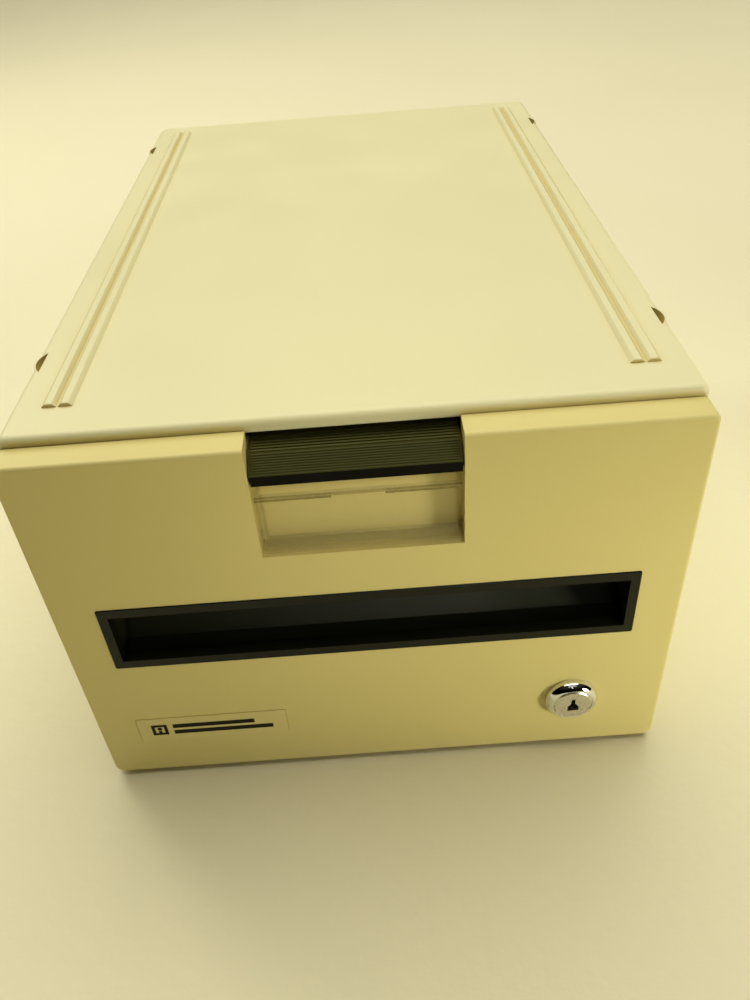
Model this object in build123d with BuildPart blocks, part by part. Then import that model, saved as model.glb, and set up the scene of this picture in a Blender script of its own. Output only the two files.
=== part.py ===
"""Lockable, stackable drawer file for computer diskettes.

A moulded case with a pull-out tray: the tray's front carries a ribbed thumb latch, a clear
label holder, a recessed finger pull, a name plate and a cam lock, and the tray holds hinged
dividers. Millimetres, +Z up, the front faces -Y, and the origin is the centre of the
bounding box's underside. "Depth" below is always the distance behind the front face.
"""

from build123d import *
import os
from math import cos, sin, radians, atan2, degrees

os.makedirs("parts", exist_ok=True)

# ---------------------------------------------------------------- driving dimensions
width = 206.0  # case and drawer front
height = 151.3  # floor to roof
body_depth = 321.7  # drawer face to back wall
lock_proud = 4.0  # the lock stands this far out of the drawer face
foot_height = 2.0
wall = 2.6  # moulded walls of the case
moving_gap = 0.3  # clearance between the case and what slides in it

front_y = -(body_depth + lock_proud) / 2 + lock_proud  # the drawer's front face
half_width = width / 2

# drawer front
front_bottom = 2.2
front_top = 148.0
front_thickness = 10.2
front_skin = 2.8
bottom_corner = 3.8
top_corner = 2.0
face_round = 1.2

# case
case_start = front_thickness + moving_gap  # depth of the case's front edge
inner_half = half_width - wall
roof_inside = height - wall
lip_depth = 3.5  # turned-down lip along the roof's front edge, which the latch hooks behind
lip_bottom = 147.3
roof_round = 2.6
rim_round = 1.9  # the roof's front edge is crisper than its sides
back_round = 5.0
base_top = foot_height + wall
back_inside = body_depth - wall

# runners and tray
runner_start = 16.0
runner_end = 312.0
runner_inner = 92.6
runner_outer = 100.2
runner_web = 95.2
runner_foot_top = 8.6
runner_slot_top = 13.8
runner_top = 15.4
stop_start = 38.0
stop_length = 6.0
tray_start = 24.0
tray_end = 313.0
tray_half = 92.0
tray_wall = 2.0
front_wall = 2.4
tray_floor_bottom = runner_foot_top + moving_gap
tray_floor = 2.2
tray_floor_top = tray_floor_bottom + tray_floor
flange_half = 94.9
bump_start = 300.0
bump_length = 12.0

# latch notch, in the middle of the drawer front's top edge
notch_half = 31.2
notch_floor = 107.8
notch_back = 8.5
notch_wall = 2.2
notch_back_top = 139.6
pivot_depth = 3.2
pivot_z = 137.0
pivot_r = 1.5
bar_half = 30.8
bar_bottom = 134.5
bar_foot_depth = 1.1  # the band leans in towards its foot
bar_band_top = 138.5
bar_fold_depth = 5.6
bar_top = 143.4
bar_plate = 2.0
bar_end_depth = 19.5
hook_depth = 15.6
hook_top = lip_bottom - moving_gap
spring_x = 18.0
spring_depth = 14.5
spring_r = 2.5
spring_seat = 130.0

peg_depth = 5.6
peg_z = 113.0
peg_r = 1.0

# finger pull
pull_half = 88.2
pull_low = 61.9
pull_high = 90.1
pull_rim = 3.3
pull_hole_half = 86.4
pull_hole_low = 63.0
pull_hole_high = 89.0
cup_wall = 1.8

# lock
lock_x = 70.0
lock_z = 28.7
barrel_r = 7.7
barrel_flat = 7.1
barrel_end = 14.5
plug_r = 6.4
plug_head_r = 6.95
running = 0.05
cam_depth = 15.9
cam_thick = 2.0
cam_reach = 23.5

# name plate
plate_left = -88.9
plate_right = -33.8
plate_low = 20.2
plate_high = 33.4

# fastenings
boss_x = 80.0
boss_heights = (48.0, 118.0)
boss_r = 4.0
screw_x = 97.3
screw_depths = (40.0, 120.0, 205.0, 290.0)
shank_r = 1.5
pad_x = 70.0
pad_depths = (40.0, 290.0)

# roof details
rib_inner_x = 86.0
rib_outer_x = 91.0
rib_width = 4.7  # across the foot of each rib
rib_height = 1.2
rib_slope = 42.0  # degrees, the rib's flanks
rib_round = 0.5
rib_start = 26.0
rib_end = 307.5
pocket_inner_x = 100.0
pocket_bulge = 2.3
pocket_length = 12.5
pocket_sink = 3.0
pocket_depths = (54.5, 280.0)
tab_gap = 0.25  # stacking tabs are this much smaller than the pockets they drop into
tab_foot = 0.2

# dividers
divider_count = 4
divider_first = 60.0
divider_pitch = 68.0
divider_lean = 14.0
divider_half = 87.0
divider_height = 114.0
divider_thick = 2.0
tab_width = 36.0
tab_height = 8.0
rod_r = 2.0
rod_z = 15.1
heel_x = 52.0
heel_width = 24.0
heel_drop = 3.33
heel_back = 3.0
heel_front = 2.4
rack_inner = 70.0
rack_outer = 78.0
rack_top = 19.1
rack_steps = 6  # slots from one divider to the next


def facing(depth):
    """A sketch plane parallel to the drawer face. Solids grow backwards with a negative amount."""
    return Plane.XZ.offset(-(front_y + depth))


def at(depth, z):
    """A point of a side profile on Plane.YZ."""
    return (front_y + depth, z)


def save(builder, label):
    builder.part.label = label
    export_step(builder.part, f"parts/{label}.step")


# ================================================================ the case
# ---- cover: roof, sides and back in one moulding, open at the front and underneath
case_length = body_depth - case_start
case_middle = front_y + (case_start + body_depth) / 2
with BuildPart() as case_cover:
    with BuildSketch(Plane.XY.offset(foot_height)) as plan:
        with Locations((0, case_middle)):
            Rectangle(width, case_length)
        fillet(plan.vertices().group_by(Axis.Y)[-1], radius=back_round)
    extrude(amount=height - foot_height)
    roof_edges = case_cover.faces().sort_by(Axis.Z)[-1].edges().sort_by(Axis.Y)
    fillet(roof_edges[1:], radius=roof_round)
    rim = case_cover.faces().sort_by(Axis.Y)[0]
    fillet(rim.edges().filter_by_position(Axis.Z, height - roof_round, height), radius=rim_round)
    # two pairs of raised ribs along the roof, with straight-cut ends
    with BuildSketch(facing(rib_start)):
        for side in (-1, 1):
            for x in (rib_inner_x, rib_outer_x):
                with Locations((side * x, height + rib_height / 2)):
                    Trapezoid(rib_width, rib_height, rib_slope)
    extrude(amount=-(rib_end - rib_start))
    rib_top = height + rib_height
    crests = case_cover.faces().filter_by_position(Axis.Z, rib_top - 0.01, rib_top + 0.01)
    fillet(crests.edges(), radius=rib_round)
    # hollow behind the lip, with thick shoulders under the stacking pockets
    with BuildSketch(facing(case_start + lip_depth)) as hollow:
        with Locations((0, (roof_inside + base_top) / 2 - wall)):
            Rectangle(2 * inner_half, roof_inside - base_top + 2 * wall)
        fillet(hollow.vertices().group_by(Axis.Y)[-1], radius=3.0)
    extrude(amount=-(back_inside - case_start - lip_depth), mode=Mode.SUBTRACT)
    with BuildSketch(facing(case_start)) as mouth:
        with Locations((0, lip_bottom / 2)):
            Rectangle(2 * inner_half, lip_bottom)
        fillet(mouth.vertices().group_by(Axis.Y)[-1], radius=3.0)
    extrude(amount=-lip_depth, mode=Mode.SUBTRACT)
    # stacking pockets in the shoulders, each with a thin rim that stands clear of the rounded edge
    with BuildSketch(Plane.XY.offset(height - pocket_sink - 1.0)):
        for side in (-1, 1):
            for depth in pocket_depths:
                near = (side * (pocket_inner_x - 2.0), front_y + depth - pocket_length / 2 - 1.4)
                far = (side * (pocket_inner_x - 2.0), front_y + depth + pocket_length / 2 + 1.4)
                bulge = (side * half_width, front_y + depth)
                with BuildLine():
                    Line(near, far)
                    ThreePointArc(far, bulge, near)
                make_face()
    extrude(amount=pocket_sink + 1.0)
    with BuildSketch(Plane.XY.offset(height - pocket_sink)):
        for side in (-1, 1):
            for depth in pocket_depths:
                near = (side * pocket_inner_x, front_y + depth - pocket_length / 2)
                far = (side * pocket_inner_x, front_y + depth + pocket_length / 2)
                bulge = (side * (pocket_inner_x + pocket_bulge), front_y + depth)
                with BuildLine():
                    Line(near, far)
                    ThreePointArc(far, bulge, near)
                make_face()
    extrude(amount=pocket_sink, mode=Mode.SUBTRACT)
    # and the tabs that drop into the pockets of a unit below
    with BuildSketch(Plane.XY.offset(foot_height)):
        for side in (-1, 1):
            for depth in pocket_depths:
                tab_x = side * (pocket_inner_x + tab_gap)
                near = (tab_x, front_y + depth - pocket_length / 2 + 2 * tab_gap)
                far = (tab_x, front_y + depth + pocket_length / 2 - 2 * tab_gap)
                bulge = (side * (pocket_inner_x + pocket_bulge - tab_gap), front_y + depth)
                with BuildLine():
                    Line(near, far)
                    ThreePointArc(far, bulge, near)
                make_face()
    extrude(amount=tab_foot - foot_height)
    # lugs that take the case screws, above the runners
    with BuildSketch(Plane.XY.offset(runner_top + 0.1)):
        for side in (-1, 1):
            for depth in screw_depths:
                with Locations((side * (inner_half + 93.0) / 2, front_y + depth)):
                    Rectangle(inner_half - 93.0, 10.0)
    extrude(amount=10.0)
    with BuildSketch(Plane.XY.offset(runner_top)):
        for side in (-1, 1):
            for depth in screw_depths:
                with Locations((side * screw_x, front_y + depth)):
                    Circle(shank_r + 0.02)
    extrude(amount=8.0, mode=Mode.SUBTRACT)
save(case_cover, "case_cover")

# ---- base: a plate that closes the case underneath, with the rib that the lock's cam hooks behind
base_half = inner_half - 0.1
with BuildPart() as case_base:
    with BuildSketch(Plane.XY.offset(foot_height)):
        with Locations((0, front_y + (case_start + back_inside - 0.1) / 2)):
            Rectangle(2 * base_half, back_inside - 0.1 - case_start)
    extrude(amount=wall)
    with BuildSketch(Plane.XY.offset(base_top)):
        with Locations((lock_x, front_y + 14.2)):
            Rectangle(22.0, 2.4)
        with Locations((lock_x - 9.0, front_y + 12.0), (lock_x + 9.0, front_y + 12.0)):
            Rectangle(2.0, 2.0)
    extrude(amount=3.8)
    # low stiffening ribs along the floor, under the tray
    with BuildSketch(Plane.XY.offset(base_top)):
        with Locations((-45.0, case_middle), (0, case_middle), (45.0, case_middle)):
            Rectangle(2.0, case_length - 60.0)
    extrude(amount=2.0)
    screw_planes = [
        Plane(origin=(side * screw_x, front_y + depth, foot_height), z_dir=(0, 0, -1))
        for side in (-1, 1)
        for depth in screw_depths
    ]
    with Locations(*screw_planes):
        CounterSinkHole(shank_r + 0.2, 2.8, depth=wall, counter_sink_angle=90)
save(case_base, "case_base")

# ---- runners: C-shaped guides that the tray's flanges slide in, each with a stop block
with BuildPart() as runner_right:
    with BuildSketch(facing(runner_start)):
        with BuildLine():
            Polyline(
                (runner_inner, base_top),
                (runner_outer, base_top),
                (runner_outer, runner_top),
                (runner_inner, runner_top),
                (runner_inner, runner_slot_top),
                (runner_web, runner_slot_top),
                (runner_web, runner_foot_top),
                (runner_inner, runner_foot_top),
                close=True,
            )
        make_face()
    extrude(amount=-(runner_end - runner_start))
    stop_bottom = tray_floor_top + moving_gap
    with BuildSketch(facing(stop_start)):
        with Locations(((runner_inner + runner_web) / 2, (stop_bottom + runner_slot_top) / 2)):
            Rectangle(runner_web - runner_inner, runner_slot_top - stop_bottom)
    extrude(amount=-stop_length)
    with BuildSketch(Plane.XY.offset(base_top)):
        for depth in screw_depths:
            with Locations((screw_x, front_y + depth)):
                Circle(shank_r + 0.2)
    extrude(amount=runner_top - base_top, mode=Mode.SUBTRACT)
save(runner_right, "runner_right")

with BuildPart() as runner_left:
    mirror(runner_right.part, about=Plane.YZ)
save(runner_left, "runner_left")

# ---- case screws: countersunk, up through the base and a runner into a lug of the cover
with BuildPart() as case_screws:
    with BuildSketch(Plane.XY.offset(foot_height + 0.1)):
        for side in (-1, 1):
            for depth in screw_depths:
                with Locations((side * screw_x, front_y + depth)):
                    Circle(shank_r)
    extrude(amount=20.5)
    for side in (-1, 1):
        for depth in screw_depths:
            with Locations((side * screw_x, front_y + depth, foot_height + 0.1)):
                Cone(2.6, shank_r, 1.1, align=(Align.CENTER, Align.CENTER, Align.MIN))
    # cross recess in each head
    with BuildSketch(Plane.XY.offset(foot_height + 0.1)):
        for side in (-1, 1):
            for depth in screw_depths:
                with Locations((side * screw_x, front_y + depth)):
                    Rectangle(2.8, 0.6)
                    Rectangle(0.6, 2.8)
    extrude(amount=1.1, mode=Mode.SUBTRACT)
save(case_screws, "case_screws")

# ---- rubber pads under the base
with BuildPart() as foot_pads:
    with BuildSketch():
        for side in (-1, 1):
            for depth in pad_depths:
                with Locations((side * pad_x, front_y + depth)):
                    Circle(6.0)
    extrude(amount=foot_height)
    chamfer(foot_pads.faces().group_by(Axis.Z)[0].edges(), length=0.4)
save(foot_pads, "foot_pads")

# ================================================================ the drawer
# ---- front: a hollow-backed moulding with the latch notch, the pull opening and the lock hole
with BuildPart() as drawer_front:
    with BuildSketch(facing(0)) as outline:
        with Locations((0, (front_bottom + front_top) / 2)):
            Rectangle(width, front_top - front_bottom)
        fillet(outline.vertices().group_by(Axis.Y)[0], radius=bottom_corner)
        fillet(outline.vertices().group_by(Axis.Y)[-1], radius=top_corner)
    extrude(amount=-front_thickness)
    fillet(drawer_front.faces().sort_by(Axis.Y)[0].edges(), radius=face_round)
    with BuildSketch(facing(front_skin)) as back:
        with Locations((0, (front_bottom + front_top) / 2)):
            Rectangle(width - 2 * wall, front_top - front_bottom - 2 * wall)
        fillet(back.vertices(), radius=1.0)
    extrude(amount=front_skin - front_thickness, mode=Mode.SUBTRACT)
    # walls around the notch
    with BuildSketch(facing(front_skin)):
        with Locations((0, (notch_floor - notch_wall + front_top) / 2)):
            Rectangle(2 * (notch_half + notch_wall), front_top - notch_floor + notch_wall)
    extrude(amount=front_skin - front_thickness)
    with BuildSketch(facing(-1.0)):
        with Locations((0, (notch_floor + height) / 2)):
            Rectangle(2 * notch_half, height - notch_floor)
    extrude(amount=-(notch_back + 1.0), mode=Mode.SUBTRACT)
    with BuildSketch(facing(notch_back)):
        with Locations((0, (notch_back_top + height) / 2)):
            Rectangle(2 * notch_half, height - notch_back_top)
    extrude(amount=notch_back - front_thickness, mode=Mode.SUBTRACT)
    # sockets for the latch's trunnions and for the label holder's pegs
    with BuildSketch(Plane.YZ.offset(-notch_half - notch_wall)):
        with Locations(at(pivot_depth, pivot_z)):
            Circle(pivot_r + 0.06)
        with Locations(at(peg_depth, peg_z)):
            Circle(peg_r + 0.04)
    extrude(amount=2 * (notch_half + notch_wall), mode=Mode.SUBTRACT)
    # brackets behind the notch that carry the latch springs, each with a locating post
    with BuildSketch(facing(front_thickness)):
        with Locations((-spring_x, spring_seat - 1.0), (spring_x, spring_seat - 1.0)):
            Rectangle(10.0, 2.0)
        with Locations((-spring_x, spring_seat - 5.0), (spring_x, spring_seat - 5.0)):
            Rectangle(2.0, 7.0)
    extrude(amount=-(18.5 - front_thickness))
    with BuildSketch(Plane.XY.offset(spring_seat)):
        with Locations(
            (-spring_x, front_y + spring_depth), (spring_x, front_y + spring_depth)
        ):
            Circle(1.6)
    extrude(amount=3.0)
    # opening for the finger pull
    with BuildSketch(facing(0)):
        with Locations((0, (pull_hole_low + pull_hole_high) / 2)):
            Rectangle(2 * pull_hole_half, pull_hole_high - pull_hole_low)
    extrude(amount=-front_skin, mode=Mode.SUBTRACT)
    # lock hole with two flats that stop the barrel from turning
    with BuildSketch(facing(0)):
        with Locations((lock_x, lock_z)):
            Circle(barrel_r + running)
            Rectangle(2 * (barrel_flat + running), 30.0, mode=Mode.INTERSECT)
    extrude(amount=-front_skin, mode=Mode.SUBTRACT)
    # bosses for the front screws
    with BuildSketch(facing(front_skin)):
        for side in (-1, 1):
            for z in boss_heights:
                with Locations((side * boss_x, z)):
                    Circle(boss_r)
    extrude(amount=-(tray_start - front_skin))
    with BuildSketch(facing(tray_start - 12.0)):
        for side in (-1, 1):
            for z in boss_heights:
                with Locations((side * boss_x, z)):
                    Circle(shank_r + 0.02)
    extrude(amount=-12.0, mode=Mode.SUBTRACT)
    # shallow seat for the name plate
    with BuildSketch(facing(0)):
        with Locations(((plate_left + plate_right) / 2, (plate_low + plate_high) / 2)):
            RectangleRounded(plate_right - plate_left, plate_high - plate_low, 0.8)
    extrude(amount=-0.4, mode=Mode.SUBTRACT)
save(drawer_front, "drawer_front")

# ---- tray: floor with side flanges, front and back walls, and sides that dip for the hands
tray_middle = front_y + (tray_start + tray_end) / 2
with BuildPart() as drawer_tray:
    with BuildSketch(Plane.XY.offset(tray_floor_bottom)):
        with Locations((0, tray_middle)):
            Rectangle(2 * flange_half, tray_end - tray_start)
    extrude(amount=tray_floor)
    with BuildSketch(Plane.YZ.offset(-tray_half)) as side_wall:
        with BuildLine():
            Polyline(
                at(tray_start, tray_floor_bottom),
                at(tray_start, 138.0),
                at(42.0, 138.0),
                at(78.0, 98.0),
                at(258.0, 98.0),
                at(290.0, 128.0),
                at(tray_end, 128.0),
                at(tray_end, tray_floor_bottom),
                close=True,
            )
        make_face()
        fillet(side_wall.vertices().filter_by_position(Axis.Y, 97, 139), radius=8.0)
    extrude(amount=2 * tray_half)
    # the inside, leaving the floor, the two sides and the two end walls
    inside_start = tray_start + front_wall
    inside_end = tray_end - front_wall
    with BuildSketch(Plane.XY.offset(tray_floor_top)) as inside:
        with Locations((0, front_y + (inside_start + inside_end) / 2)):
            Rectangle(2 * (tray_half - tray_wall), inside_end - inside_start)
        fillet(inside.vertices(), radius=3.0)
    extrude(amount=height - tray_floor_top, mode=Mode.SUBTRACT)
    # bumps on the flanges that meet the runners' stop blocks
    with BuildSketch(Plane.XY.offset(tray_floor_top)):
        for side in (-1, 1):
            with Locations(
                (side * (tray_half + flange_half) / 2, front_y + bump_start + bump_length / 2)
            ):
                Rectangle(flange_half - tray_half, bump_length)
    extrude(amount=runner_slot_top - moving_gap - tray_floor_top)
    # holes for the front screws
    with BuildSketch(facing(tray_start)):
        for side in (-1, 1):
            for z in boss_heights:
                with Locations((side * boss_x, z)):
                    Circle(shank_r + 0.2)
    extrude(amount=-front_wall, mode=Mode.SUBTRACT)
save(drawer_tray, "drawer_tray")

# ---- front screws: pan heads inside the tray
with BuildPart() as front_screws:
    with BuildSketch(facing(tray_start - 10.0)):
        for side in (-1, 1):
            for z in boss_heights:
                with Locations((side * boss_x, z)):
                    Circle(shank_r)
    extrude(amount=-(10.0 + front_wall + 0.5))
    with BuildSketch(facing(inside_start)):
        for side in (-1, 1):
            for z in boss_heights:
                with Locations((side * boss_x, z)):
                    Circle(2.9)
    extrude(amount=-2.0)
    fillet(front_screws.faces().group_by(Axis.Y)[-1].edges(), radius=0.8)
    with BuildSketch(facing(inside_start + 2.0)):
        for side in (-1, 1):
            for z in boss_heights:
                with Locations((side * boss_x, z)):
                    Rectangle(3.0, 0.7)
                    Rectangle(0.7, 3.0)
    extrude(amount=1.0, mode=Mode.SUBTRACT)
save(front_screws, "front_screws")

# ---- finger pull: a bezel from the front, and a deeper cup behind the panel for the fingertips
with BuildPart() as pull_bezel:
    middle = (pull_low + pull_high) / 2
    with BuildSketch(facing(-0.4)):
        with Locations((0, middle)):
            RectangleRounded(2 * pull_half, pull_high - pull_low, 0.8)
    extrude(amount=-0.4)
    chamfer(pull_bezel.faces().sort_by(Axis.Y)[0].edges(), length=0.25)
    with BuildSketch(facing(0)):
        with Locations((0, (pull_hole_low + pull_hole_high) / 2)):
            Rectangle(2 * pull_hole_half - 0.2, pull_hole_high - pull_hole_low - 0.2)
    extrude(amount=-4.6)
    with BuildSketch(facing(-0.4)):
        with Locations((0, middle)):
            Rectangle(2 * (pull_half - pull_rim), pull_high - pull_low - 2 * pull_rim - 0.6)
    extrude(amount=-5.0, mode=Mode.SUBTRACT)
save(pull_bezel, "pull_bezel")

cup_floor = 62.6
cup_mouth_top = 89.1
cup_back = 19.0
with BuildPart() as pull_cup:
    # outside, with a flange against the back of the panel
    with BuildSketch(Plane.YZ.offset(-pull_hole_half - cup_wall)):
        with BuildLine():
            Polyline(
                at(front_skin, cup_floor - cup_wall),
                at(12.5, cup_floor - cup_wall + 1.2),
                at(cup_back + cup_wall, 70.5),
                at(cup_back + cup_wall, 91.5),
                at(16.5, 97.8),
                at(6.5, 97.8),
                at(front_skin, 93.5),
                close=True,
            )
        make_face()
    extrude(amount=2 * (pull_hole_half + cup_wall))
    with BuildSketch(facing(front_skin)):
        with Locations((0, (cup_floor + cup_mouth_top) / 2 + 1.0)):
            Rectangle(2 * (pull_hole_half + 4.0), cup_mouth_top - cup_floor + 7.0)
    extrude(amount=-1.6)
    # inside, which rises behind the panel's edge
    with BuildSketch(Plane.YZ.offset(-pull_hole_half)):
        with BuildLine():
            Polyline(
                at(front_skin, cup_floor),
                at(12.0, cup_floor + 1.4),
                at(cup_back, 71.5),
                at(cup_back, 90.5),
                at(15.6, 96.0),
                at(7.6, 96.0),
                at(4.6, 92.0),
                at(4.6, cup_mouth_top),
                at(front_skin, cup_mouth_top),
                close=True,
            )
        make_face()
    extrude(amount=2 * pull_hole_half, mode=Mode.SUBTRACT)
save(pull_cup, "pull_cup")

# ---- clear label holder: a trough that stands on the notch's floor, open at the top
holder_half = 30.6
holder_bottom = notch_floor + 0.1
holder_top = 130.2
holder_front = 1.5
holder_wall = 1.4
with BuildPart() as label_holder:
    with BuildSketch(facing(holder_front)):
        with Locations((0, (holder_bottom + holder_top) / 2)):
            Rectangle(2 * holder_half, holder_top - holder_bottom)
    extrude(amount=holder_front - notch_back + 0.1)
    with BuildSketch(facing(holder_front + holder_wall)):
        with Locations((0, (holder_bottom + holder_wall + height) / 2)):
            Rectangle(2 * (holder_half - 1.2), height - holder_bottom - holder_wall)
    extrude(amount=holder_front + holder_wall - notch_back, mode=Mode.SUBTRACT)
    # finger lips along the top edge, either side of the gap in the middle
    with BuildSketch(facing(holder_front - 0.9)):
        for side in (-1, 1):
            with Locations((side * (8.0 + holder_half) / 2, holder_top - 0.6)):
                Rectangle(holder_half - 8.0, 1.2)
    extrude(amount=-0.9)
    # pegs that snap into the notch's side walls
    with BuildSketch(Plane.YZ.offset(-notch_half - notch_wall + 0.4)):
        with Locations(at(peg_depth, peg_z)):
            Circle(peg_r)
    extrude(amount=notch_half + notch_wall - 0.4 - holder_half + 0.6)
    with BuildSketch(Plane.YZ.offset(holder_half - 0.6)):
        with Locations(at(peg_depth, peg_z)):
            Circle(peg_r)
    extrude(amount=notch_half + notch_wall - 0.4 - holder_half + 0.6)
save(label_holder, "label_holder")

# ---- name plate, blank
with BuildPart() as nameplate:
    with BuildSketch(facing(-0.25)):
        with Locations(((plate_left + plate_right) / 2, (plate_low + plate_high) / 2)):
            RectangleRounded(
                plate_right - plate_left - 0.3, plate_high - plate_low - 0.3, 0.7
            )
    extrude(amount=-0.65)
    chamfer(nameplate.faces().sort_by(Axis.Y)[0].edges(), length=0.15)
save(nameplate, "nameplate")

# ---- lock: housing with its domed bezel, nut, turning plug, cam and cam screw
lock_axis = Axis((lock_x, front_y, lock_z), (0, 1, 0))
lock_plane = Plane.XY.offset(lock_z)


def lock_point(radius, depth):
    return (lock_x + radius, front_y + depth)


with BuildPart() as lock_housing:
    with BuildSketch(lock_plane):
        with BuildLine():
            Line(lock_point(plug_r + running, barrel_end), lock_point(barrel_r, barrel_end))
            Line(lock_point(barrel_r, barrel_end), lock_point(barrel_r, 0))
            Line(lock_point(barrel_r, 0), lock_point(9.5, 0))
            Line(lock_point(9.5, 0), lock_point(9.5, -0.7))
            ThreePointArc(
                lock_point(9.5, -0.7), lock_point(8.8, -2.7), lock_point(7.4, -3.8)
            )
            Line(lock_point(7.4, -3.8), lock_point(plug_head_r + running, -3.7))
            Line(
                lock_point(plug_head_r + running, -3.7), lock_point(plug_head_r + running, -2.4)
            )
            Line(lock_point(plug_head_r + running, -2.4), lock_point(plug_r + running, -2.4))
            Line(lock_point(plug_r + running, -2.4), lock_point(plug_r + running, barrel_end))
        make_face()
    revolve(axis=lock_axis)
    with BuildSketch(facing(0)):
        for side in (-1, 1):
            with Locations((lock_x + side * (barrel_flat + 2.0), lock_z)):
                Rectangle(4.0, 20.0)
    extrude(amount=-barrel_end, mode=Mode.SUBTRACT)
save(lock_housing, "lock_housing")

with BuildPart() as lock_nut:
    with BuildSketch(facing(front_skin)):
        with Locations((lock_x, lock_z)):
            RegularPolygon(10.6, 6)
            Circle(barrel_r + running, mode=Mode.SUBTRACT)
    extrude(amount=-3.0)
save(lock_nut, "lock_nut")

tang = 5.0
with BuildPart() as lock_plug:
    with BuildSketch(lock_plane):
        with BuildLine():
            Polyline(
                lock_point(0, -lock_proud),
                lock_point(plug_head_r - 0.5, -lock_proud),
                lock_point(plug_head_r, -lock_proud + 0.4),
                lock_point(plug_head_r, -2.5),
                lock_point(plug_r, -2.5),
                lock_point(plug_r, cam_depth),
                lock_point(0, cam_depth),
                close=True,
            )
        make_face()
    revolve(axis=lock_axis)
    with BuildSketch(facing(cam_depth)):
        with Locations((lock_x, lock_z)):
            Rectangle(tang, tang)
    extrude(amount=-cam_thick)
    # keyway: a narrow slot that is wider at its foot, with a side ward
    with BuildSketch(facing(-lock_proud)):
        with BuildLine():
            Polyline(
                (lock_x - 0.6, lock_z + 3.2),
                (lock_x + 0.6, lock_z + 3.2),
                (lock_x + 0.9, lock_z + 0.6),
                (lock_x + 2.1, lock_z - 0.9),
                (lock_x + 2.1, lock_z - 2.9),
                (lock_x - 1.7, lock_z - 3.1),
                (lock_x - 1.9, lock_z - 0.8),
                (lock_x - 0.8, lock_z + 0.5),
                close=True,
            )
        make_face()
    extrude(amount=-11.0, mode=Mode.SUBTRACT)
    with BuildSketch(facing(cam_depth + cam_thick)):
        with Locations((lock_x, lock_z)):
            Circle(1.9)
    extrude(amount=8.0, mode=Mode.SUBTRACT)
save(lock_plug, "lock_plug")

with BuildPart() as lock_cam:
    with BuildSketch(facing(cam_depth)) as cam_shape:
        with Locations((lock_x, lock_z)):
            Circle(7.2)
        with Locations((lock_x + cam_reach / 2, lock_z)):
            Rectangle(cam_reach, 11.0)
        fillet(cam_shape.vertices().group_by(Axis.X)[-1], radius=2.5)
        with Locations((lock_x, lock_z)):
            Rectangle(tang + 0.04, tang + 0.04, mode=Mode.SUBTRACT)
    extrude(amount=-cam_thick)
save(lock_cam, "lock_cam")

with BuildPart() as cam_screw:
    with BuildSketch(facing(cam_depth + cam_thick - 7.0)):
        with Locations((lock_x, lock_z)):
            Circle(1.88)
    extrude(amount=-7.0)
    with BuildSketch(facing(cam_depth + cam_thick)):
        with Locations((lock_x, lock_z)):
            Circle(4.2)
    extrude(amount=-2.4)
    fillet(cam_screw.faces().sort_by(Axis.Y)[-1].edges(), radius=0.8)
    with BuildSketch(facing(cam_depth + cam_thick + 2.4)):
        with Locations((lock_x, lock_z)):
            Rectangle(5.0, 0.9)
            Rectangle(0.9, 5.0)
    extrude(amount=1.2, mode=Mode.SUBTRACT)
save(cam_screw, "cam_screw")

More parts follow.
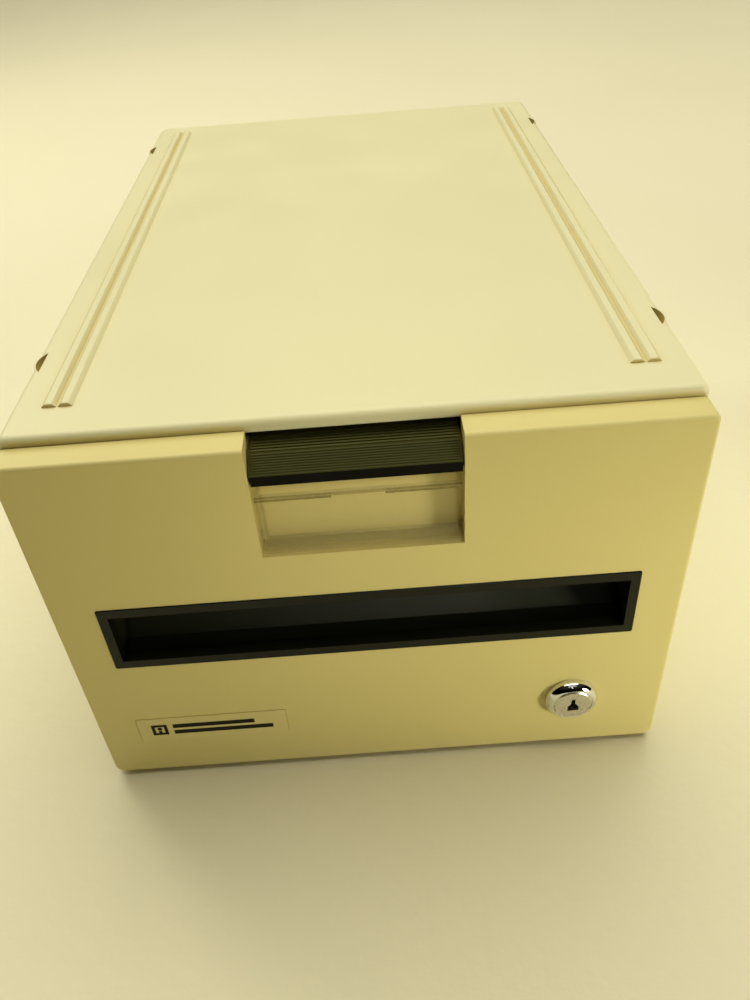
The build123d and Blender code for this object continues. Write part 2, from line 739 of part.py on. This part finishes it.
# ---- latch bar: smooth band, sloping ribbed face, ribbed top, and a hook under the roof's lip
slope_rise = bar_top - bar_band_top
slope_run = bar_fold_depth - 0.3
slope_angle = degrees(atan2(slope_rise, slope_run))
slope_pitch = 0.76
slope_ribs = 9
top_pitch = 1.43
with BuildPart() as latch_bar:
    with BuildSketch(Plane.YZ.offset(-bar_half)):
        with BuildLine():
            Polyline(
                at(bar_foot_depth, bar_bottom),
                at(0.3, bar_band_top),
                at(bar_fold_depth, bar_top),
                at(hook_depth, bar_top),
                at(hook_depth, hook_top),
                at(hook_depth + 1.4, hook_top),
                at(bar_end_depth, bar_top),
                at(bar_end_depth, bar_top - bar_plate),
                at(bar_fold_depth + 0.8, bar_top - bar_plate),
                at(2.3, bar_band_top - 1.1),
                at(2.9, bar_bottom),
                close=True,
            )
        make_face()
    extrude(amount=2 * bar_half)
    # end cheeks that carry the trunnions; their tails meet the notch's back when the bar is up
    for side in (-1, 1):
        with BuildSketch(Plane.YZ.offset(side * (bar_half - 0.9) - 0.9)):
            with BuildLine():
                Polyline(
                    at(bar_foot_depth, bar_bottom),
                    at(0.3, bar_band_top),
                    at(bar_fold_depth, bar_top),
                    at(8.0, bar_top - 1.0),
                    at(6.6, bar_top - 3.5),
                    at(6.6, bar_bottom + 2.8),
                    at(notch_back - 0.05, bar_bottom + 2.2),
                    at(notch_back - 0.05, bar_bottom + 1.2),
                    at(5.0, bar_bottom),
                    close=True,
                )
            make_face()
        extrude(amount=1.8)
    with BuildSketch(Plane.YZ.offset(-notch_half - notch_wall + 0.4)):
        with Locations(at(pivot_depth, pivot_z)):
            Circle(pivot_r)
    extrude(amount=notch_wall + 1.0)
    with BuildSketch(Plane.YZ.offset(notch_half - 1.4)):
        with Locations(at(pivot_depth, pivot_z)):
            Circle(pivot_r)
    extrude(amount=notch_wall + 1.0)
    # grip ribs: fine on the sloping face, coarser on the top
    with BuildSketch(Plane.YZ.offset(-bar_half + 0.6)):
        for step in range(slope_ribs):
            along = 0.5 + slope_pitch * step
            with Locations(
                at(
                    0.3 + along * cos(radians(slope_angle)),
                    bar_band_top + along * sin(radians(slope_angle)),
                )
            ):
                Rectangle(0.38, 0.7, rotation=slope_angle)
        for step in range(6):
            with Locations(at(bar_fold_depth + 0.5 + top_pitch * step, bar_top)):
                Rectangle(0.7, 0.8)
    extrude(amount=2 * (bar_half - 0.6))
    # posts that centre the springs
    with BuildSketch(Plane.XY.offset(bar_top - bar_plate - 2.5)):
        with Locations(
            (-spring_x, front_y + spring_depth), (spring_x, front_y + spring_depth)
        ):
            Circle(1.6)
    extrude(amount=2.5)
save(latch_bar, "latch_bar")

# ---- latch springs: compression springs, as sleeves of the coils' size
with BuildPart() as latch_springs:
    with BuildSketch(Plane.XY.offset(spring_seat)):
        for side in (-1, 1):
            with Locations((side * spring_x, front_y + spring_depth)):
                Circle(spring_r)
                Circle(spring_r - 0.6, mode=Mode.SUBTRACT)
    extrude(amount=bar_top - bar_plate - spring_seat)
save(latch_springs, "latch_springs")

# ---- racks: strips on the tray floor with a row of slots for the dividers' rods
slot_pitch = divider_pitch / rack_steps
slot_count = rack_steps * divider_count - 2
rack_start = divider_first - slot_pitch - 6.0
rack_end = divider_first + slot_pitch * (slot_count - 1) + 6.0
with BuildPart() as rack_right:
    with BuildSketch(Plane.XY.offset(tray_floor_top)):
        with Locations(
            ((rack_inner + rack_outer) / 2, front_y + (rack_start + rack_end) / 2)
        ):
            Rectangle(rack_outer - rack_inner, rack_end - rack_start)
    extrude(amount=rack_top - tray_floor_top)
    with BuildSketch(Plane.YZ.offset(rack_inner)):
        for step in range(-1, slot_count):
            slot_y = divider_first + slot_pitch * step
            with Locations(at(slot_y, rod_z)):
                Circle(rod_r + 0.06)
            with Locations(at(slot_y, (rod_z + rack_top) / 2 + 0.5)):
                Rectangle(2 * (rod_r + 0.06), rack_top - rod_z + 1.0)
    extrude(amount=rack_outer - rack_inner, mode=Mode.SUBTRACT)
save(rack_right, "rack_right")

with BuildPart() as rack_left:
    mirror(rack_right.part, about=Plane.YZ)
save(rack_left, "rack_left")

# ---- dividers: leaning plates with a staggered index tab, each turning on the rod at its foot
lean = radians(divider_lean)
for number in range(divider_count):
    rod_y = front_y + divider_first + divider_pitch * number
    leaning = Plane(
        origin=(0, rod_y, rod_z), x_dir=(1, 0, 0), z_dir=(0, -cos(lean), sin(lean))
    )
    tab_x = -60.0 + 40.0 * number
    with BuildPart() as divider:
        with BuildSketch(leaning.offset(-divider_thick / 2)) as sheet:
            with Locations((0, (divider_height + 6.0) / 2)):
                Rectangle(2 * divider_half, divider_height - 6.0)
            fillet(sheet.vertices(), radius=5.0)
            with Locations((0, 10.0)):
                Rectangle(2 * (rack_inner - 1.0), 20.0)
            with Locations((tab_x, divider_height)):
                RectangleRounded(tab_width, 2 * tab_height, 2.5)
        extrude(amount=divider_thick)
        with BuildSketch(Plane.YZ.offset(-rack_outer - 0.8)):
            with Locations((rod_y, rod_z)):
                Circle(rod_r)
        extrude(amount=2 * (rack_outer + 0.8))
        # heels that stand on the tray floor and stop the backward lean
        with BuildSketch(leaning.offset(-heel_back)):
            with Locations((-heel_x, (3.0 - heel_drop) / 2), (heel_x, (3.0 - heel_drop) / 2)):
                Rectangle(heel_width, 3.0 + heel_drop)
        extrude(amount=heel_back + heel_front)
    save(divider, f"divider_{number + 1}")
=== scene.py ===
"""A lockable diskette drawer file on a pale floor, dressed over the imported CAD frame.

Metres, +Z up, the drawer front faces -Y. The CAD nodes keep their shapes and get procedural
materials; the latch springs and the name plate's device are modelled here.
"""

from math import cos, pi, radians, sin

import bmesh
import bpy
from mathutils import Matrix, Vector


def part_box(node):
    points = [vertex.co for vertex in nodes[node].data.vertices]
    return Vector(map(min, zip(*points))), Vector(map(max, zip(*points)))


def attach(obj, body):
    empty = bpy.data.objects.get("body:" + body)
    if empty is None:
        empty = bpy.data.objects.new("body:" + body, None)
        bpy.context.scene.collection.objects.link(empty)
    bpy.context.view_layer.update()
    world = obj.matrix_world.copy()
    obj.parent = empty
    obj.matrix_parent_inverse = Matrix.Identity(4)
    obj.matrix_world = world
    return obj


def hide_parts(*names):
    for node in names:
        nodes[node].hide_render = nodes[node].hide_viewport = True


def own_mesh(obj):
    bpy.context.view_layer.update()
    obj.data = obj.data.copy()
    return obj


MM = 0.001

# Each moulded colour is a pair: the base tone and the tone it drifts to.
CASE_BEIGE = ((0.82, 0.77, 0.45), (0.80, 0.75, 0.43))
FRONT_BEIGE = ((0.73, 0.635, 0.245), (0.71, 0.615, 0.23))
PLATE_BEIGE = ((0.735, 0.64, 0.255), (0.72, 0.625, 0.245))
BEZEL_BLACK = ((0.006, 0.007, 0.003), (0.010, 0.011, 0.004))
CUP_BLACK = ((0.018, 0.020, 0.007), (0.024, 0.027, 0.009))
# Painted light: latch ribs lighter olive where lit, its band near black as shade.
LATCH_LIT_OLIVE = ((0.085, 0.086, 0.026), (0.075, 0.077, 0.023))
BAND_SHADE_BLACK = (0.0015, 0.0015, 0.0005)
RUNNER_GREY = ((0.20, 0.19, 0.16), (0.16, 0.15, 0.13))
DIVIDER_SMOKE = ((0.30, 0.28, 0.21), (0.26, 0.24, 0.18))
PAD_BLACK = ((0.02, 0.02, 0.02), (0.035, 0.034, 0.032))
INK_BLACK = ((0.004, 0.004, 0.002), (0.008, 0.008, 0.004))
FLOOR_PALE = ((0.86, 0.80, 0.54), (0.83, 0.77, 0.51))
WARM = (1.0, 0.97, 0.86)  # the lamps' colour

# Painted shade: a crease takes the base tone times this, channel by channel.
CREASE_SHADE = (0.76, 0.66, 0.40)
FAINT_CREASE_SHADE = (0.97, 0.95, 0.88)
CREASE_REACH = 3.2 * MM
CREASE_SAMPLES = 8
CREASE_BAND = [(0.6, 0.0), (0.98, 1.0)]

# Depths of surface relief.
COARSE_GRAIN = 0.04 * MM
MOULD_GRAIN = 0.03 * MM
FINE_GRAIN = 0.02 * MM
POLISHED_GRAIN = 0.01 * MM
WAVE_DEPTH = 0.4 * MM
FLOOR_RELIEF = 0.8 * MM

# Scales of noise, per metre.
DRIFT_SCALE = 9.0
WAVE_SCALE = 14.0
PATCH_SCALE = 26.0

NOISE_RANGE = [(0.3, 0.0), (0.7, 1.0)]  # spreads noise over its whole range

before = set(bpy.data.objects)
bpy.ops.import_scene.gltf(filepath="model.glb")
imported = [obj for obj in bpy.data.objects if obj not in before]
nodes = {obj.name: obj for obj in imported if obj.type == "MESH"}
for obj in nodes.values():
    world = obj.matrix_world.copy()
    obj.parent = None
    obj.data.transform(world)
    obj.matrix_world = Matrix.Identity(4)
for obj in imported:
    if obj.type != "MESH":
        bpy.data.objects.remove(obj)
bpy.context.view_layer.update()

FACE_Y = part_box("drawer_front")[0].y  # the drawer's front face


# ---------------------------------------------------------------- material helpers
def start_material(name):
    material = bpy.data.materials.new(name)
    material.use_nodes = True
    tree = material.node_tree
    shader = tree.nodes["Principled BSDF"]
    return material, tree, shader


def object_noise(tree, scale, detail=2.0, stretch=(1.0, 1.0, 1.0)):
    """Noise in the frame's own metres, so that grain keeps its real size. scale is per metre."""
    place = tree.nodes.new("ShaderNodeTexCoord")
    mapping = tree.nodes.new("ShaderNodeMapping")
    mapping.inputs["Scale"].default_value = stretch
    noise = tree.nodes.new("ShaderNodeTexNoise")
    noise.inputs["Scale"].default_value = scale
    noise.inputs["Detail"].default_value = detail
    tree.links.new(place.outputs["Object"], mapping.inputs["Vector"])
    tree.links.new(mapping.outputs["Vector"], noise.inputs["Vector"])
    return noise.outputs["Fac"]


def ramp(tree, source, stops):
    """stops is [(position, value or colour), ...]."""
    node = tree.nodes.new("ShaderNodeValToRGB")
    band = node.color_ramp
    while len(band.elements) < len(stops):
        band.elements.new(0.5)
    for element, (position, value) in zip(band.elements, stops):
        element.position = position
        element.color = (*value, 1) if isinstance(value, tuple) else (value, value, value, 1)
    tree.links.new(source, node.inputs["Fac"])
    return node.outputs["Color"]


def mix_colour(tree, factor, first, second):
    """first and second are sockets or plain colours."""
    node = tree.nodes.new("ShaderNodeMix")
    node.data_type = "RGBA"
    tree.links.new(factor, node.inputs["Factor"])
    for socket, value in ((node.inputs["A"], first), (node.inputs["B"], second)):
        if isinstance(value, tuple):
            socket.default_value = (*value, 1)
        else:
            tree.links.new(value, socket)
    return node.outputs["Result"]


def math_node(tree, operation, *values):
    """Each value is a socket or a number."""
    node = tree.nodes.new("ShaderNodeMath")
    node.operation = operation
    for socket, value in zip(node.inputs, values):
        if isinstance(value, (int, float)):
            socket.default_value = value
        else:
            tree.links.new(value, socket)
    return node.outputs["Value"]


def lean_towards(tree, vector, direction):
    """The dot product of a vector socket and a fixed direction."""
    node = tree.nodes.new("ShaderNodeVectorMath")
    node.operation = "DOT_PRODUCT"
    node.inputs[1].default_value = direction
    tree.links.new(vector, node.inputs[0])
    return node.outputs["Value"]


def object_place(tree):
    """The point's X, Y and Z in the frame's own metres."""
    place = tree.nodes.new("ShaderNodeTexCoord")
    parts = tree.nodes.new("ShaderNodeSeparateXYZ")
    tree.links.new(place.outputs["Object"], parts.inputs[0])
    return parts.outputs


def bump(tree, height, depth, strength=1.0, after=None):
    node = tree.nodes.new("ShaderNodeBump")
    node.inputs["Strength"].default_value = strength
    node.inputs["Distance"].default_value = depth
    tree.links.new(height, node.inputs["Height"])
    if after is not None:
        tree.links.new(after, node.inputs["Normal"])
    return node.outputs["Normal"]


def moulded_plastic(
    name, colour, tint, roughness, grain=1400.0, depth=MOULD_GRAIN, sheen=0.3, creases=CREASE_SHADE
):
    """Spark-eroded mould texture: a fine even grain, a slow tone drift, a few duller patches,
    and painted shade, darker and warmer, in the creases and corners."""
    material, tree, shader = start_material(name)
    drift = ramp(tree, object_noise(tree, DRIFT_SCALE, 3.0), NOISE_RANGE)
    unshaded_tone = mix_colour(tree, drift, colour, tint)
    # Painted shade: ambient occlusion darkens and warms the colour in creases, grooves and
    # corners.
    crease = tree.nodes.new("ShaderNodeAmbientOcclusion")
    crease.inputs["Distance"].default_value = CREASE_REACH
    crease.samples = CREASE_SAMPLES
    open_sky = ramp(tree, crease.outputs["AO"], CREASE_BAND)
    crease_shade_colour = tuple(share * channel for share, channel in zip(creases, colour))
    tree.links.new(mix_colour(tree, open_sky, crease_shade_colour, unshaded_tone), shader.inputs["Base Color"])
    handled = ramp(
        tree,
        object_noise(tree, PATCH_SCALE, 4.0),
        [(0.35, roughness - 0.05), (0.65, roughness + 0.06)],
    )
    tree.links.new(handled, shader.inputs["Roughness"])
    grain_bump = bump(tree, object_noise(tree, grain, 2.0), depth)
    wave_bump = bump(tree, object_noise(tree, WAVE_SCALE, 1.0), WAVE_DEPTH, 0.12, grain_bump)
    tree.links.new(wave_bump, shader.inputs["Normal"])
    shader.inputs["Specular IOR Level"].default_value = sheen
    return material


def metal(name, colour, roughness, brush=None, spread=0.04):
    """Plated metal. brush is (scale, stretch) for fine lines, or None for a polished surface."""
    material, tree, shader = start_material(name)
    shader.inputs["Metallic"].default_value = 1.0
    smudge = ramp(tree, object_noise(tree, 320.0, 3.0), NOISE_RANGE)
    dull = tuple(0.9 * channel for channel in colour)
    tree.links.new(mix_colour(tree, smudge, colour, dull), shader.inputs["Base Color"])
    polish = ramp(
        tree,
        object_noise(tree, 500.0, 2.0),
        [(0.3, max(0.02, roughness - spread)), (0.7, roughness + spread)],
    )
    tree.links.new(polish, shader.inputs["Roughness"])
    if brush:
        scale, stretch = brush
        lines = object_noise(tree, scale, 2.0, stretch)
        tree.links.new(bump(tree, lines, POLISHED_GRAIN, 0.6), shader.inputs["Normal"])
    return material


# ---------------------------------------------------------------- materials
case_plastic = moulded_plastic("case_plastic", *CASE_BEIGE, 0.46)
front_plastic = moulded_plastic("front_plastic", *FRONT_BEIGE, 0.44, creases=FAINT_CREASE_SHADE)
plate_plastic = moulded_plastic(
    "plate_plastic", *PLATE_BEIGE, 0.4, grain=900.0, depth=POLISHED_GRAIN
)
black_moulding = moulded_plastic(
    "black_moulding", *BEZEL_BLACK, 0.36, grain=1700.0, depth=FINE_GRAIN, sheen=0.18
)
cup_moulding = moulded_plastic(
    "cup_moulding", *CUP_BLACK, 0.42, grain=1700.0, depth=FINE_GRAIN, sheen=0.25
)
latch_moulding = moulded_plastic(
    "latch_moulding", *LATCH_LIT_OLIVE, 0.5, grain=1700.0, depth=FINE_GRAIN, sheen=0.08
)
grey_plastic = moulded_plastic("grey_plastic", *RUNNER_GREY, 0.4, grain=1100.0, depth=FINE_GRAIN)
smoke_plastic = moulded_plastic(
    "smoke_plastic", *DIVIDER_SMOKE, 0.24, grain=600.0, depth=POLISHED_GRAIN, sheen=0.5
)
rubber = moulded_plastic("rubber", *PAD_BLACK, 0.8, grain=800.0, depth=COARSE_GRAIN)
chrome = metal("chrome", (0.83, 0.83, 0.81), 0.07)
satin_nickel = metal(
    "satin_nickel", (0.72, 0.70, 0.63), 0.27, brush=(900.0, (1.0, 1.0, 0.05)), spread=0.08
)
zinc = metal("zinc", (0.60, 0.60, 0.57), 0.36, brush=(700.0, (1.0, 1.0, 1.0)), spread=0.1)
spring_wire = metal(
    "spring_wire", (0.52, 0.52, 0.53), 0.25, brush=(1200.0, (1.0, 1.0, 0.2)), spread=0.06
)

ink, ink_tree, ink_shader = start_material("ink")
ink_tone = ramp(ink_tree, object_noise(ink_tree, 700.0, 3.0), NOISE_RANGE)
ink_colour = mix_colour(ink_tree, ink_tone, *INK_BLACK)
ink_tree.links.new(ink_colour, ink_shader.inputs["Base Color"])
ink_shader.inputs["Roughness"].default_value = 0.5
ink_shader.inputs["Specular IOR Level"].default_value = 0.15

LIP_HEIGHT = 1.25 * MM
LIP_DEPTH = 0.95 * MM
CLEAR_IOR = 1.49
# Painted light: the ledge tint is paler for light from above, the lip tint olive for light
# gathered in the thick lips.
CLEAR_TINTS = {
    "face": (0.80, 0.70, 0.34),
    "side": (0.50, 0.42, 0.16),
    "ledge": (0.92, 0.82, 0.42),
    "lip": (0.30, 0.24, 0.07),
}
CLEAR_ALPHAS = {
    "face": (0.05, 0.05, 0.05),
    "side": (0.14, 0.14, 0.14),
    "ledge": (0.22, 0.22, 0.22),
    "lip": (0.55, 0.55, 0.55),
}


def clear_plastic(name, node):
    """See-through on its faces, a little tinted where the wall is seen edge on, paler on the
    upward ledges as painted light from above, and olive where the thick finger lips gather the
    light, also painted light."""
    material, tree, shader = start_material(name)
    low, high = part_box(node)
    place = object_place(tree)
    normal = tree.nodes.new("ShaderNodeNewGeometry").outputs["Normal"]
    lips = math_node(
        tree,
        "MULTIPLY",
        math_node(tree, "GREATER_THAN", place["Z"], high.z - LIP_HEIGHT),
        math_node(tree, "LESS_THAN", place["Y"], low.y + LIP_DEPTH),
    )
    flatness = math_node(tree, "ABSOLUTE", lean_towards(tree, normal, (0, 1, 0)))
    edge_on = ramp(tree, flatness, [(0.3, 1.0), (0.8, 0.0)])
    ledge = ramp(tree, lean_towards(tree, normal, (0, 0, 1)), [(0.3, 0.0), (0.8, 1.0)])
    for values, socket in ((CLEAR_TINTS, "Base Color"), (CLEAR_ALPHAS, "Alpha")):
        sides = mix_colour(tree, ledge, values["side"], values["ledge"])
        walls = mix_colour(tree, edge_on, values["face"], sides)
        whole = mix_colour(tree, lips, walls, values["lip"])
        tree.links.new(whole, shader.inputs[socket])
    smears = ramp(tree, object_noise(tree, 120.0, 4.0), [(0.3, 0.04), (0.75, 0.12)])
    tree.links.new(smears, shader.inputs["Roughness"])
    shader.inputs["IOR"].default_value = CLEAR_IOR
    shader.inputs["Specular IOR Level"].default_value = 0.2
    return material


clear = clear_plastic("clear_moulding", "label_holder")

# Painted light: the ribs are painted a lighter olive where they catch light from above;
# the smooth band below them is painted near black as shade.
BAND_HEIGHT = 4.0 * MM
latch_low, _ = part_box("latch_bar")
latch_tree = latch_moulding.node_tree
latch_colour = latch_tree.nodes["Principled BSDF"].inputs["Base Color"]
lit_rib_tone = latch_colour.links[0].from_socket
above_band = math_node(
    latch_tree, "GREATER_THAN", object_place(latch_tree)["Z"], latch_low.z + BAND_HEIGHT
)
latch_tree.links.new(mix_colour(latch_tree, above_band, BAND_SHADE_BLACK, lit_rib_tone), latch_colour)

finishes = (
    (case_plastic, ("case_cover", "case_base")),
    (front_plastic, ("drawer_front", "drawer_tray")),
    (plate_plastic, ("nameplate",)),
    (latch_moulding, ("latch_bar",)),
    (black_moulding, ("pull_bezel",)),
    (cup_moulding, ("pull_cup",)),
    (grey_plastic, ("runner_left", "runner_right", "rack_left", "rack_right")),
    (smoke_plastic, ("divider_1", "divider_2", "divider_3", "divider_4")),
    (rubber, ("foot_pads",)),
    (chrome, ("lock_housing",)),
    (satin_nickel, ("lock_plug",)),
    (zinc, ("lock_nut", "lock_cam", "cam_screw", "case_screws", "front_screws")),
    (clear, ("label_holder",)),
)
for material, names in finishes:
    for name in names:
        for slot in nodes[name].material_slots:
            slot.material = material


# ---------------------------------------------------------------- piece helpers
def new_object(name, data):
    made = bpy.data.objects.new(name, data)
    bpy.context.scene.collection.objects.link(made)
    return made


def piece(name, mesh_maker, material, body):
    """A new mesh piece that rides on a body and takes the given material."""
    builder = bmesh.new()
    mesh_maker(builder)
    bmesh.ops.recalc_face_normals(builder, faces=builder.faces)
    mesh = bpy.data.meshes.new(name)
    builder.to_mesh(mesh)
    builder.free()
    made = new_object(name, mesh)
    made.data.materials.append(material)
    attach(made, body)
    return made


# ---------------------------------------------------------------- latch springs
SPRING_TURNS = 6.5
WIRE = 0.3 * MM  # half the wire's thickness
STEPS = 24  # rings of the wire's mesh per turn
WIRE_SIDES = 8
CLOSED_SHARE = 0.13  # the share of the wire that lies flat at each end

spring_low, spring_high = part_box("latch_springs")
coil_radius = (spring_high.y - spring_low.y) / 2 - WIRE
spring_y = (spring_low.y + spring_high.y) / 2
spring_x = spring_high.x - coil_radius - WIRE


def coil(builder):
    """Wound wire with closed, flattened ends, one spring each side."""
    total = int(SPRING_TURNS * STEPS)
    open_height = spring_high.z - spring_low.z - 2 * WIRE
    for centre_x in (-spring_x, spring_x):
        rings = []
        for step in range(total + 1):
            share = step / total
            rise = min(1.0, max(0.0, (share - CLOSED_SHARE) / (1 - 2 * CLOSED_SHARE)))
            height = spring_low.z + WIRE + rise * open_height
            into_end = min(share - CLOSED_SHARE, 0.0) + max(share - 1 + CLOSED_SHARE, 0.0)
            height += WIRE * into_end / CLOSED_SHARE
            angle = 2 * pi * SPRING_TURNS * share
            outward = Vector((cos(angle), sin(angle), 0))
            centre = Vector((centre_x, spring_y, height)) + outward * coil_radius
            ring = []
            for turn in range(WIRE_SIDES):
                tilt = 2 * pi * turn / WIRE_SIDES
                offset = outward * cos(tilt) * WIRE + Vector((0, 0, sin(tilt) * WIRE))
                spot = centre + offset
                spot.z = min(max(spot.z, spring_low.z), spring_high.z)
                ring.append(builder.verts.new(spot))
            rings.append(ring)
        for near, far in zip(rings, rings[1:]):
            for turn in range(WIRE_SIDES):
                after = (turn + 1) % WIRE_SIDES
                builder.faces.new((near[turn], near[after], far[after], far[turn]))
        builder.faces.new(rings[0])
        builder.faces.new(rings[-1])


springs = piece("latch_spring_coils", coil, spring_wire, "drawer")
for face in springs.data.polygons:
    face.use_smooth = True
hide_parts("latch_springs")
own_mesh(springs)


# ---------------------------------------------------------------- name plate device
INK_RELIEF = 0.06 * MM
DEVICE_LEFT = 5.0 * MM  # from the plate's left and lower edges
DEVICE_LOW = 3.6 * MM
DEVICE_SIDE = 5.7 * MM
DEVICE_EDGE = 1.15 * MM
HUB_RADIUS = 0.15  # as a share of the side
HUB_HEIGHT = 0.6
HUB_SIDES = 20
SLOT_SHARE = 0.2  # the read slot, as a share of the side
BAR_GAP = 2.2 * MM
BAR_LOW = 0.1 * MM
BAR_PITCH = 3.4 * MM
BAR_HIGH = 2.1 * MM
BAR_LENGTHS = (36.5 * MM, 30.0 * MM)

plate_low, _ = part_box("nameplate")


def flat_shape(builder, outline, y_face):
    """A thin raised print: outline is [(x, z), ...] in metres on the plate."""
    front = [builder.verts.new((x, y_face - INK_RELIEF, z)) for x, z in outline]
    back = [builder.verts.new((x, y_face + INK_RELIEF, z)) for x, z in outline]
    builder.faces.new(front)
    builder.faces.new(back)
    for here in range(len(outline)):
        after = (here + 1) % len(outline)
        builder.faces.new((front[here], front[after], back[after], back[here]))


def rectangle(left, low, wide, high):
    return [(left, low), (left + wide, low), (left + wide, low + high), (left, low + high)]


def device(builder):
    """A diskette's outline and two bold bars, with no lettering."""
    face = plate_low.y
    left = plate_low.x + DEVICE_LEFT
    low = plate_low.z + DEVICE_LOW
    side = DEVICE_SIDE
    edge = DEVICE_EDGE
    slot = side * SLOT_SHARE
    for x, z, wide, high in (
        (0, 0, side, edge),
        (0, side - edge, side, edge),
        (0, edge, edge, side - 2 * edge),
        (side - edge, edge, edge, side - 2 * edge),
        ((side - slot) / 2, edge, slot, slot),
    ):
        flat_shape(builder, rectangle(left + x, low + z, wide, high), face)
    hub = [
        (
            left + side * (0.5 + HUB_RADIUS * cos(2 * pi * k / HUB_SIDES)),
            low + side * (HUB_HEIGHT + HUB_RADIUS * sin(2 * pi * k / HUB_SIDES)),
        )
        for k in range(HUB_SIDES)
    ]
    flat_shape(builder, hub, face)
    for row, wide in enumerate(BAR_LENGTHS):
        bar_low = low + BAR_LOW + BAR_PITCH * row
        flat_shape(builder, rectangle(left + side + BAR_GAP, bar_low, wide, BAR_HIGH), face)


piece("nameplate_device", device, ink, "drawer")

# ---------------------------------------------------------------- floor, light and camera
FLOOR_REACH = 20.0
floor_corners = [
    (FLOOR_REACH * x, FLOOR_REACH * y, 0) for x, y in ((-1, -1), (1, -1), (1, 1), (-1, 1))
]
floor_mesh = bpy.data.meshes.new("floor")
floor_mesh.from_pydata(floor_corners, [], [(0, 1, 2, 3)])
floor = new_object("floor", floor_mesh)
floor_material, floor_tree, floor_shader = start_material("floor_paper")
floor_tone = ramp(floor_tree, object_noise(floor_tree, 3.0, 4.0), NOISE_RANGE)
floor_colour = mix_colour(floor_tree, floor_tone, *FLOOR_PALE)
floor_tree.links.new(floor_colour, floor_shader.inputs["Base Color"])
floor_shader.inputs["Roughness"].default_value = 0.8
floor_tree.links.new(
    bump(floor_tree, object_noise(floor_tree, 160.0, 6.0), FLOOR_RELIEF, 0.35),
    floor_shader.inputs["Normal"],
)
floor.data.materials.append(floor_material)


def area_light(name, place, aim, size, power, spread=180):
    """A soft box. A spread under 180 degrees is a grid in front of it that narrows the beam."""
    data = bpy.data.lights.new(name, "AREA")
    data.spread = radians(spread)
    data.shape = "RECTANGLE"
    data.size, data.size_y = size
    data.energy = power
    data.color = WARM
    lamp = new_object(name, data)
    lamp.location = place
    toward = Vector(aim) - Vector(place)
    lamp.rotation_euler = toward.to_track_quat("-Z", "Y").to_euler()


# Name, place, aim, size, watts and, where a grid narrows the beam, its angle in degrees.
SOFT_BOXES = (
    ("overhead", (0.1, 0.5, 2.0), (0.1, 0.25, 0.0), (2.2, 2.2), 22),
    ("rear_left", (-0.8, 0.8, 0.9), (0.1, 0.05, 0.15), (0.4, 0.4), 3.6),
    ("right_low", (0.50, -0.50, 0.12), (0.17, -0.16, 0.07), (0.2, 0.2), 0.145, 36),
    ("front_high", (0.15, -0.69, 0.99), (0.0, -0.15, 0.1), (0.6, 0.3), 0.3),
    ("recess", (0.10, -0.75, 0.62), (0.0, -0.15, 0.12), (0.08, 0.08), 0.0042, 13),
)
for soft_box in SOFT_BOXES:
    area_light(*soft_box)

ceiling = bpy.data.lights.new("ceiling", "SUN")
ceiling.energy = 1.55
ceiling.angle = radians(70)
ceiling.color = WARM
ceiling_lamp = new_object("ceiling", ceiling)
ceiling_lamp.rotation_euler = (radians(-20), radians(3), 0)

ROOM_LIGHT = 0.04
ROOM_SEEN = (0.72, 0.66, 0.47)
world = bpy.data.worlds.new("studio")
bpy.context.scene.world = world
world.use_nodes = True
sky = world.node_tree
background = sky.nodes["Background"]
direction = sky.nodes.new("ShaderNodeTexCoord").outputs["Generated"]
room = ramp(  # a bright ceiling over darker walls
    sky,
    lean_towards(sky, direction, (0.1, -0.1, 1.0)),
    [(0.5, (0.01, 0.01, 0.008)), (0.7, (0.5, 0.48, 0.4)), (0.95, (1.0, 0.96, 0.8))],
)
# Seen directly, past the floor's far edge, the room is as pale as the floor.
seen = sky.nodes.new("ShaderNodeLightPath").outputs["Is Camera Ray"]
sky.links.new(mix_colour(sky, seen, room, ROOM_SEEN), background.inputs["Color"])
room_power = math_node(sky, "MULTIPLY_ADD", seen, 1.0 - ROOM_LIGHT, ROOM_LIGHT)
sky.links.new(room_power, background.inputs["Strength"])

bpy.context.scene.view_settings.view_transform = "Standard"

camera_data = bpy.data.cameras.new("camera")
camera_data.sensor_width = 36
camera_data.lens = 30.76
camera = new_object("camera", camera_data)
camera.location = (7.0 * MM, FACE_Y - 195.3 * MM, 284.3 * MM)
camera.rotation_euler = (radians(51.10), radians(3.67), radians(-2.30))
bpy.context.scene.camera = camera
